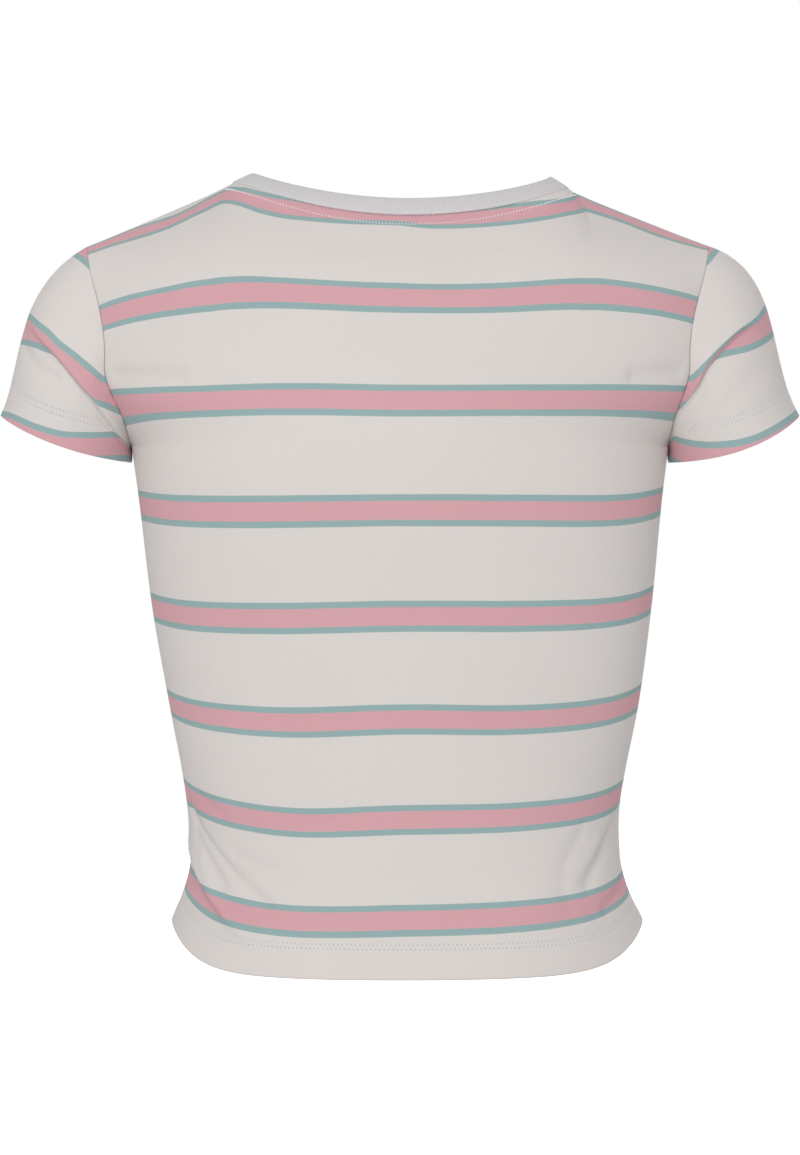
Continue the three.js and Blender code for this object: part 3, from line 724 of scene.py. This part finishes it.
def sleeve_grid(side):
    facing = np.concatenate((np.ones(len(TURNS) - 1), -np.ones(len(TURNS) - 1)))
    turn = np.concatenate((TURNS[:-1], TURNS[:0:-1]))
    if side == "left":
        facing = facing[::-1]
        turn = turn[::-1]
    long_side = 118.0
    shares = dense_stops(0, long_side, 1.3, ((0, 4), (long_side - 17, long_side)), 0.8) / long_side
    v, turn = np.meshgrid(shares, turn, indexing="ij")
    facing = np.broadcast_to(facing, v.shape)
    points = sleeve_point(side, facing, turn, v)
    from_top = run_along(points)
    from_cuff = from_top[-1:] - from_top
    all_round = np.where(facing > 0, turn, 360 - turn)

    rows = rows_of(CREASE_COLUMNS, SLEEVE_CREASES[side])
    crease, step, step_width = (through(rows, "turn", column)(all_round) for column in CREASE_COLUMNS[1:])
    step_width = np.maximum(step_width, 1.0)
    off = (v - crease) * from_top[-1:]
    fade = 1 - np.exp(-((from_top / 6) ** 2))
    relief = fade * ledge_at(off, np.maximum(step, 0), CREASE_REACH, step_width)
    relief += fade * fold_relief(
        rows_of(SLEEVE_FOLD_COLUMNS, SLEEVE_FOLDS[side]),
        np.radians(all_round) * SLEEVE_ROUND,
        v * SLEEVE_LONG,
        lambda row: (
            math.radians(row["turn0"]) * SLEEVE_ROUND,
            row["v0"] * SLEEVE_LONG,
            math.radians(row["turn1"]) * SLEEVE_ROUND,
            row["v1"] * SLEEVE_LONG,
        ),
    )
    relief += seam_dip(from_top, ARMHOLE_SEAM)
    relief += stitch_groove(from_cuff / cuff_hem_share(turn), CUFF_STITCH_ROWS)

    # The stripes run on from the armhole above the crease and from the cuff below it, and part at the crease.
    rows = rows_of(SLEEVE_STRIPE_COLUMNS, SLEEVE_STRIPES[side])
    armhole, cuff, pace = (through(rows, "turn", column)(turn) for column in SLEEVE_STRIPE_COLUMNS[1:])
    above = armhole + from_top
    below = cuff - pace * from_cuff
    down = mix(above, below, (1 + np.tanh(off / (step_width * CREASE_JUMP))) / 2)

    turned_up = from_cuff <= (CUFF_STITCH_ROWS[1] + 1) * cuff_hem_share(turn)
    walls = np.where(turned_up, TURNED_UP_WALL, WALL)
    cloth = np.stack((np.radians(all_round) * SLEEVE_ROUND / STRIPE_REPEAT, down / STRIPE_REPEAT), -1)
    # Every mesh line where the rows of stitches are clear of the underarm, once round from the underarm
    share = cuff_hem_share(turn)
    clear = from_top[-1] - CUFF_STITCH_ROWS[1] * share[0] > STITCHES_CLEAR
    columns = np.roll(np.arange(len(clear)), -int(turn[0].argmax()))
    columns = columns[clear[columns]]
    return {
        "points": points,
        "relief": relief,
        "walls": walls,
        "cloth": cloth,
        "ring": True,
        "columns": columns,
        "share": share,
    }


def quads_of(grid):
    """The quads of a grid as four arrays of point numbers, in outward order."""
    rows, width = grid["points"].shape[:2]
    number = np.arange(rows * width).reshape(rows, width)
    if grid["ring"]:
        number = np.concatenate((number, number[:, :1]), axis=1)
    corners = (number[:-1, :-1], number[:-1, 1:], number[1:, 1:], number[1:, :-1])
    return np.stack([corner.ravel() for corner in corners], -1)


def shared_normals(grids):
    """Outward normals at the points of all the pieces together, so that two pieces agree where they are sewn."""
    points = np.concatenate([grid["points"].reshape(-1, 3) for grid in grids.values()])
    offsets = np.cumsum([0] + [grid["points"][..., 0].size for grid in grids.values()])
    quads = np.concatenate([quads_of(grid) + start for grid, start in zip(grids.values(), offsets)])
    a, b, c, d = (points[quads[:, i]] for i in range(4))
    normal = np.cross(c - a, d - b)
    _, place = np.unique(np.round(points, 3), axis=0, return_inverse=True)
    place = place.reshape(-1)
    total = np.zeros((place.max() + 1, 3))
    for i in range(4):
        np.add.at(total, place[quads[:, i]], normal)
    total /= np.maximum(np.linalg.norm(total, axis=-1, keepdims=True), 1e-9)
    normals = total[place]
    return {
        name: normals[start : start + grid["points"][..., 0].size].reshape(grid["points"].shape)
        for (name, grid), start in zip(grids.items(), offsets)
    }


def edge_loops(grid):
    """The free edges of a grid as closed loops of point numbers, each with the cloth on its left."""
    rows, width = grid["points"].shape[:2]
    number = np.arange(rows * width).reshape(rows, width)
    if grid["ring"]:
        return [number[0], number[-1][::-1]]
    return [np.concatenate((number[0], number[1:, -1], number[-1, -2::-1], number[-2:0:-1, 0]))]


def new_piece(name, points, faces, material, cloth=None, flat_from=None):
    """A mesh object from points in millimetres, with a place on the flat cloth for each point if it has any. Its
    faces are smooth, but for those from number `flat_from` on."""
    mesh = bpy.data.meshes.new(name)
    mesh.from_pydata((points * 0.001).tolist(), [], faces)
    if cloth is not None:
        layer = mesh.uv_layers.new(name="cloth")
        corner = np.zeros(len(mesh.loops), dtype=np.int32)
        mesh.loops.foreach_get("vertex_index", corner)
        layer.data.foreach_set("uv", cloth[corner].ravel())
    smooth = np.ones(len(mesh.polygons), bool)
    if flat_from is not None:
        smooth[flat_from:] = False
    mesh.polygons.foreach_set("use_smooth", smooth)
    mesh.materials.append(material)
    mesh.update()
    piece = bpy.data.objects.new(name, mesh)
    bpy.context.scene.collection.objects.link(piece)
    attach(piece, "root")
    return piece


def cloth_piece(name, grid, normals, material):
    """A thin shell: the outside of a grid, the inside one wall further in, and a rim along each free edge."""
    outside = grid["points"].reshape(-1, 3)
    inside = outside - normals.reshape(-1, 3) * grid["walls"].reshape(-1, 1)
    count = len(outside)
    quads = quads_of(grid)
    faces = np.concatenate((quads, quads[:, ::-1] + count))
    rims = []
    for loop in edge_loops(grid):
        after = np.roll(loop, -1)
        rims.append(np.stack((after, loop, loop + count, after + count), -1))
    faces = np.concatenate([faces] + rims)
    cloth = grid["cloth"].reshape(-1, 2)
    return new_piece(
        name,
        np.concatenate((outside, inside)),
        faces.tolist(),
        material,
        cloth=np.concatenate((cloth, cloth)),
        flat_from=2 * len(quads),
    )


def neckband_rings(steps):
    """The neck seam once round, from the wearer's right across the back and home across the front, with the
    directions inwards in plan and up the band."""
    half = np.linspace(-NECK_POINT, NECK_POINT, steps + 1)[:-1]
    points = []
    inwards = []
    leans = []
    for panel, s in (("back", half), ("front", -half)):
        form = PANELS[panel]
        angle = np.radians(90 * s / NECK_POINT)
        reach = np.abs(by_side(s, "neck_point")[..., 0])
        inward = np.stack(
            (-np.sin(angle) / reach, -form["facing"] * np.cos(angle) / form["neck_depth"], np.zeros_like(s)), -1
        )
        points.append(neckline(panel, s))
        inwards.append(inward / np.linalg.norm(inward, axis=-1, keepdims=True))
        leans.append(mix(by_side(s, "band_lean"), BAND_LEAN[panel], np.cos(angle) ** 2))
    inward = np.concatenate(inwards)
    lean = np.radians(np.concatenate(leans))[:, None]
    up = inward * np.sin(lean) + np.array((0, 0, 1)) * np.cos(lean)
    out = -inward * np.cos(lean) + np.array((0, 0, 1)) * np.sin(lean)
    return np.concatenate(points), up, out


def folded_strip(width, thick):
    """The section of a band folded double, as (height, out) places once round: up the outer layer, over the fold,
    down the inner one, and back between them."""
    middle = [(-0.4, -0.1), (0.6, 0.35), (2.2, 0.55), (5.5, 0.62), (8.5, 0.6), (width - 1.0, 0.5)]
    middle += [(width - 0.35, 0.3), (width - 0.1, 0.0), (width - 0.35, -0.3)]
    middle += [(high, -out - 0.1) for high, out in reversed(middle[1:6])]
    middle += [(-0.3, -0.5)]
    line = np.array(middle)
    along = np.gradient(line, axis=0)
    across = np.stack((-along[:, 1], along[:, 0]), -1)
    across /= np.linalg.norm(across, axis=-1, keepdims=True)
    return np.concatenate((line + across * thick / 2, (line - across * thick / 2)[::-1]))


def neckband_piece(material):
    """The folded rib band: its section is carried round the neck seam."""
    seam, up, out = neckband_rings(160)
    section_places = folded_strip(BAND_WIDTH, BAND_LAYER)
    rings = [seam + up * high + out * away for high, away in section_places]
    points = np.stack(rings, 1)
    count, width = points.shape[:2]
    number = np.arange(count * width).reshape(count, width)
    after_ring = np.roll(number, -1, axis=0)
    after_point = np.roll(number, -1, axis=1)
    both = np.roll(after_ring, -1, axis=1)
    faces = np.stack((number, after_ring, both, after_point), -1).reshape(-1, 4)
    round_neck = np.linalg.norm(np.roll(seam, -1, axis=0) - seam, axis=-1).cumsum()
    run = np.broadcast_to(round_neck[:, None], (count, width))
    high = np.broadcast_to(section_places[:, 0], (count, width))
    cloth = np.stack((run, high), -1).reshape(-1, 2) / 10
    return new_piece("neckband_cloth", points.reshape(-1, 3), faces[:, ::-1].tolist(), material, cloth=cloth)


def line_at(points, normals, distance, wanted):
    """Down each mesh line, the place where the distance from an edge first reaches the wanted value."""
    count = points.shape[1]
    places = np.zeros((count, 3))
    outs = np.zeros((count, 3))
    for i in range(count):
        order = np.argsort(distance[:, i])
        for axis in range(3):
            places[i, axis] = np.interp(wanted, distance[order, i], points[order, i, axis])
            outs[i, axis] = np.interp(wanted, distance[order, i], normals[order, i, axis])
    outs /= np.linalg.norm(outs, axis=-1, keepdims=True)
    return places, outs


def thread_places(line, step):
    """Even places along a line on the cloth: a function of the run along it, the run of each place and the ways out."""
    places, outs, closed = line
    if closed:
        places = np.concatenate((places, places[:1]))
        outs = np.concatenate((outs, outs[:1]))
    run = np.concatenate(([0], np.linalg.norm(np.diff(places, axis=0), axis=-1).cumsum()))
    count = int(run[-1] // step)
    middles = (np.arange(count) + 0.5) * run[-1] / count

    def at(distance):
        place = np.array([np.interp(distance, run, places[:, axis]) for axis in range(3)])
        out = np.array([np.interp(distance, run, outs[:, axis]) for axis in range(3)])
        return place, out / np.linalg.norm(out)

    return at, middles


def stitches(name, lines, stitch, material):
    """Rows of single stitches, each a short thread that rises from the cloth and goes back in."""
    sides = 5
    profile = [(-0.5, -0.25, 0.35), (-0.34, 0.2, 0.9), (0.0, 0.36, 1.0), (0.34, 0.2, 0.9), (0.5, -0.25, 0.35)]
    points = []
    faces = []
    for line in lines:
        at, middles = thread_places(line, stitch["step"])
        for middle in middles:
            centre, out = at(middle)
            along = at(middle + stitch["length"] / 2)[0] - at(middle - stitch["length"] / 2)[0]
            side = np.cross(along / np.linalg.norm(along), out)
            first = len(points)
            for share, lift, girth in profile:
                for k in range(sides):
                    angle = 2 * math.pi * k / sides
                    radius = stitch["thick"] / 2 * girth
                    around = out * math.sin(angle) + side * math.cos(angle)
                    points.append(centre + along * share + out * lift * stitch["thick"] + around * radius)
            for ring in range(len(profile) - 1):
                for k in range(sides):
                    a = first + ring * sides + k
                    b = first + ring * sides + (k + 1) % sides
                    faces.append((a, b, b + sides, a + sides))
            faces.append(tuple(first + k for k in reversed(range(sides))))
            last = first + (len(profile) - 1) * sides
            faces.append(tuple(last + k for k in range(sides)))
    return new_piece(name, np.array(points), faces, material)


def painted_hole_shades(name, lines, stitch, material):
    """Painted shade in the dents between the stitches, where the thread goes through the cloth: a small low grey dome
    for each, its colour standing in for the shade.
    """
    sides = 6
    points = []
    faces = []
    for line in lines:
        at, middles = thread_places(line, stitch["step"])
        for middle in middles:
            centre, out = at(middle + stitch["step"] / 2)
            along = at(middle + stitch["step"])[0] - at(middle)[0]
            along /= max(np.linalg.norm(along), 1e-6)
            side = np.cross(along, out)
            first = len(points)
            for k in range(sides):
                angle = 2 * math.pi * k / sides
                reach = along * math.cos(angle) + side * math.sin(angle)
                points.append(centre + reach * PAINTED_HOLE_SHADE_RADIUS)
            points.append(centre + out * 0.12)
            points.append(centre - out * 0.12)
            for k in range(sides):
                after = (k + 1) % sides
                faces.append((first + k, first + after, first + sides))
                faces.append((first + after, first + k, first + sides + 1))
    return new_piece(name, np.array(points), faces, material)


class Nodes:
    """A short way to build a material's nodes."""

    def __init__(self, name):
        self.material = bpy.data.materials.new(name)
        self.material.use_nodes = True
        self.tree = self.material.node_tree
        self.shader = self.tree.nodes["Principled BSDF"]

    def add(self, kind, inputs=(), **settings):
        node = self.tree.nodes.new(kind)
        for key, value in settings.items():
            setattr(node, key, value)
        for key, value in dict(inputs).items():
            if isinstance(value, bpy.types.NodeSocket):
                self.tree.links.new(value, node.inputs[key])
            else:
                node.inputs[key].default_value = value
        return node

    def math(self, operation, a, b=0.0):
        return self.add("ShaderNodeMath", {0: a, 1: b}, operation=operation).outputs[0]

    def noise(self, vector, scale, detail=2.0):
        return self.add(
            "ShaderNodeTexNoise", {"Vector": vector, "Scale": scale, "Detail": detail}
        ).outputs["Fac"]

    def ramp(self, value, low, high, to_low, to_high):
        return self.add(
            "ShaderNodeMapRange",
            {0: value, 1: low, 2: high, 3: to_low, 4: to_high},
            interpolation_type="SMOOTHSTEP",
        ).outputs[0]

    def blend(self, share, a, b):
        node = self.add("ShaderNodeMix", {0: share}, data_type="RGBA")
        for socket, value in ((node.inputs[6], a), (node.inputs[7], b)):
            if isinstance(value, bpy.types.NodeSocket):
                self.tree.links.new(value, socket)
            else:
                socket.default_value = (*value, 1.0)
        return node.outputs[2]

    def finish(self, colour, height, distance, roughness, sheen):
        bump = self.add("ShaderNodeBump", {"Strength": 1.0, "Distance": distance, "Height": height})
        self.tree.links.new(bump.outputs[0], self.shader.inputs["Normal"])
        self.tree.links.new(colour, self.shader.inputs["Base Color"])
        self.shader.inputs["Roughness"].default_value = roughness
        self.shader.inputs["Sheen Weight"].default_value = sheen
        self.shader.inputs["Sheen Roughness"].default_value = 0.5
        self.shader.inputs["Specular IOR Level"].default_value = 0.2
        return self.material


def jersey_material():
    nodes = Nodes("striped_jersey")
    place = nodes.add("ShaderNodeTexCoord").outputs["Object"]
    cloth = nodes.add("ShaderNodeUVMap", uv_map="cloth").outputs[0]
    split = nodes.add("ShaderNodeSeparateXYZ", {0: cloth})
    wander = nodes.math("MULTIPLY", nodes.math("SUBTRACT", nodes.noise(place, 60), 0.5), 0.006)
    down = nodes.math("ADD", split.outputs[1], wander)
    # Distance, in millimetres, from the middle of the nearest stripe
    middle = nodes.math("FRACT", nodes.math("ADD", down, 0.5))
    off = nodes.math("MULTIPLY", nodes.math("ABSOLUTE", nodes.math("SUBTRACT", middle, 0.5)), STRIPE_REPEAT)
    soft = 0.22
    in_pink = nodes.ramp(off, PINK_HALF - soft, PINK_HALF + soft, 1.0, 0.0)
    in_edging = nodes.ramp(off, EDGING_HALF - soft, EDGING_HALF + soft, 1.0, 0.0)
    colour = nodes.blend(in_edging, WHITE, EDGING)
    colour = nodes.blend(in_pink, colour, PINK)
    # Faint unevenness of the dye, broad and fine
    cloudy = nodes.ramp(nodes.noise(place, 9, 3.0), 0.3, 0.7, 0.985, 1.01)
    heather = nodes.ramp(nodes.noise(place, 900, 2.0), 0.25, 0.75, 0.985, 1.01)
    shade = nodes.math("MULTIPLY", cloudy, heather)
    colour = nodes.add(
        "ShaderNodeVectorMath", {0: colour, "Scale": shade}, operation="SCALE"
    ).outputs[0]
    # Rows of loops, 0.9 mm across and 0.7 mm high, over a fine fuzz
    wale = nodes.math("SINE", nodes.math("MULTIPLY", split.outputs[0], STRIPE_REPEAT * 2 * math.pi / 0.9))
    course = nodes.math("SINE", nodes.math("MULTIPLY", split.outputs[1], STRIPE_REPEAT * 2 * math.pi / 0.7))
    loops = nodes.math("MULTIPLY", nodes.math("ADD", wale, nodes.math("MULTIPLY", course, 0.6)), 0.25)
    fuzz = nodes.math("MULTIPLY", nodes.noise(place, 1400, 3.0), 0.8)
    rumple = nodes.math("MULTIPLY", nodes.noise(place, 40, 2.0), 1.6)
    height = nodes.math("ADD", nodes.math("ADD", loops, fuzz), rumple)
    return nodes.finish(colour, height, 0.00012, 0.92, 0.12)


def rib_material():
    nodes = Nodes("rib")
    place = nodes.add("ShaderNodeTexCoord").outputs["Object"]
    cloth = nodes.add("ShaderNodeUVMap", uv_map="cloth").outputs[0]
    split = nodes.add("ShaderNodeSeparateXYZ", {0: cloth})
    rib = nodes.math("SINE", nodes.math("MULTIPLY", split.outputs[0], 10 * 2 * math.pi / 1.3))
    # Over a faint random unevenness of the dye, the rib's grooves are painted up to 1.5% darker: painted shade in the
    # grooves
    heather = nodes.ramp(nodes.noise(place, 900, 2.0), 0.25, 0.75, 0.985, 1.01)
    shade = nodes.math("MULTIPLY", heather, nodes.ramp(rib, -1.0, 0.3, 0.985, 1.0))
    colour = nodes.blend(0.0, RIB, RIB)
    colour = nodes.add(
        "ShaderNodeVectorMath", {0: colour, "Scale": shade}, operation="SCALE"
    ).outputs[0]
    height = nodes.math("ADD", rib, nodes.noise(place, 1400, 3.0))
    return nodes.finish(colour, height, 0.00012, 0.92, 0.12)


def thread_material(name, colour):
    nodes = Nodes(name)
    place = nodes.add("ShaderNodeTexCoord").outputs["Object"]
    twist = nodes.noise(place, 2500, 2.0)
    shade = nodes.blend(twist, tuple(0.92 * c for c in colour), colour)
    return nodes.finish(shade, twist, 0.00005, 0.7, 0.05)


def make_floor():
    """A plain pale floor where a wearer would stand, well below the camera's view."""
    points = np.array([(-9000, -9000, -1420), (9000, -9000, -1420), (9000, 9000, -1420), (-9000, 9000, -1420)])
    mesh = bpy.data.meshes.new("floor")
    mesh.from_pydata((points * 0.001).tolist(), [], [(0, 1, 2, 3)])
    material = bpy.data.materials.new("floor")
    material.use_nodes = True
    shader = material.node_tree.nodes["Principled BSDF"]
    shader.inputs["Base Color"].default_value = (0.9, 0.9, 0.9, 1.0)
    shader.inputs["Emission Color"].default_value = (1.0, 1.0, 1.0, 1.0)
    shader.inputs["Emission Strength"].default_value = 1.0
    mesh.materials.append(material)
    floor = bpy.data.objects.new("floor", mesh)
    bpy.context.scene.collection.objects.link(floor)
    floor.visible_diffuse = False
    floor.visible_glossy = False
    floor.visible_shadow = False


def make_light():
    """A white studio: even light from all round, and a broad soft light on the side of the camera."""
    world = bpy.data.worlds.new("studio")
    bpy.context.scene.world = world
    world.use_nodes = True
    nodes = world.node_tree.nodes
    links = world.node_tree.links
    even = nodes["Background"]
    even.inputs["Color"].default_value = (1.0, 0.995, 0.99, 1.0)
    even.inputs["Strength"].default_value = 0.58
    white = nodes.new("ShaderNodeBackground")
    white.inputs["Color"].default_value = (1.0, 1.0, 1.0, 1.0)
    white.inputs["Strength"].default_value = 1.0
    seen = nodes.new("ShaderNodeLightPath")
    choose = nodes.new("ShaderNodeMixShader")
    links.new(seen.outputs["Is Camera Ray"], choose.inputs[0])
    links.new(even.outputs[0], choose.inputs[1])
    links.new(white.outputs[0], choose.inputs[2])
    links.new(choose.outputs[0], nodes["World Output"].inputs["Surface"])
    for name, place, size, power in (
        ("key", (0.5, 2.8, 0.6), 2.2, 42.0),
        ("front_key", (-0.5, -2.8, 0.6), 2.2, 42.0),
    ):
        lamp = bpy.data.lights.new(name, "AREA")
        lamp.shape = "SQUARE"
        lamp.size = size
        lamp.energy = power
        light = bpy.data.objects.new(name, lamp)
        light.location = place
        aim = -np.array(place) + np.array((0, 0, -0.2))
        light.rotation_euler = (
            math.atan2(math.hypot(aim[0], aim[1]), -aim[2]),
            0,
            math.atan2(-aim[0], aim[1]),
        )
        bpy.context.scene.collection.objects.link(light)


def make_camera():
    lens = bpy.data.cameras.new("camera")
    lens.sensor_fit = "VERTICAL"
    lens.sensor_height = SENSOR_HEIGHT
    lens.lens = SENSOR_HEIGHT * CAMERA_DISTANCE / SCALE_AT_SEAMS / IMAGE_HEIGHT
    camera = bpy.data.objects.new("camera", lens)
    camera.location = (0, CAMERA_DISTANCE * 0.001, CAMERA_Z * 0.001)
    camera.rotation_euler = (math.radians(90 - CAMERA_TILT), 0, math.radians(180))
    bpy.context.scene.collection.objects.link(camera)
    bpy.context.scene.camera = camera


def main():
    jersey = jersey_material()
    rib = rib_material()
    thread = thread_material("thread", THREAD)
    # A grey finish painted as the shade in the needle-hole dents
    hole = thread_material("needle_hole_painted_shade", PAINTED_HOLE_SHADE)
    grids = {
        "back": panel_grid("back"),
        "front": panel_grid("front"),
        "sleeve_left": sleeve_grid("left"),
        "sleeve_right": sleeve_grid("right"),
    }
    smooth = shared_normals(grids)
    for name, grid in grids.items():
        grid["points"] = grid["points"] + smooth[name] * grid["relief"][..., None]
    normals = shared_normals(grids)
    pieces = {name: cloth_piece(name + "_cloth", grid, normals[name], jersey) for name, grid in grids.items()}
    pieces["neckband"] = neckband_piece(rib)
    for name, piece in pieces.items():
        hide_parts(name)

    sewn = {name: [] for name in pieces}
    for name in ("back", "front"):
        points = grids[name]["points"]
        out = normals[name]
        at_neck = np.abs(COLUMNS if name == "back" else COLUMNS[::-1]) < NECK_POINT * 1.01
        from_top = np.linalg.norm(points - points[:1], axis=-1)[:60, at_neck]
        lines = [
            (*line_at(points[:60, at_neck], out[:60, at_neck], from_top, row), False) for row in NECK_STITCH_ROWS
        ]
        sewn[name].append(stitches(name + "_neck_stitches", lines, NECK_STITCH, thread))
        from_hem = np.broadcast_to(((HEM - ROWS) * STRIPE_REPEAT)[:, None], points.shape[:2])[-60:]
        lines = [(*line_at(points[-60:], out[-60:], from_hem, row), False) for row in HEM_STITCH_ROWS]
        sewn[name].append(stitches(name + "_hem_stitches", lines, HEM_STITCH, thread))
        sewn[name].append(painted_hole_shades(name + "_hem_painted_hole_shades", lines, HEM_STITCH, hole))
    for side in ("left", "right"):
        name = "sleeve_" + side
        points = grids[name]["points"]
        run = run_along(points)
        columns = grids[name]["columns"]
        places = points[-60:, columns]
        outs = normals[name][-60:, columns]
        from_cuff = ((run[-1:] - run) / grids[name]["share"])[-60:, columns]
        lines = [(*line_at(places, outs, from_cuff, row), False) for row in CUFF_STITCH_ROWS]
        sewn[name].append(stitches(name + "_cuff_stitches", lines, CUFF_STITCH, thread))
        sewn[name].append(painted_hole_shades(name + "_cuff_painted_hole_shades", lines, CUFF_STITCH, hole))

    for side in ("left", "right"):
        name = "sleeve_" + side

    make_floor()
    make_light()
    make_camera()
    bpy.context.scene.view_settings.view_transform = "Standard"


main()
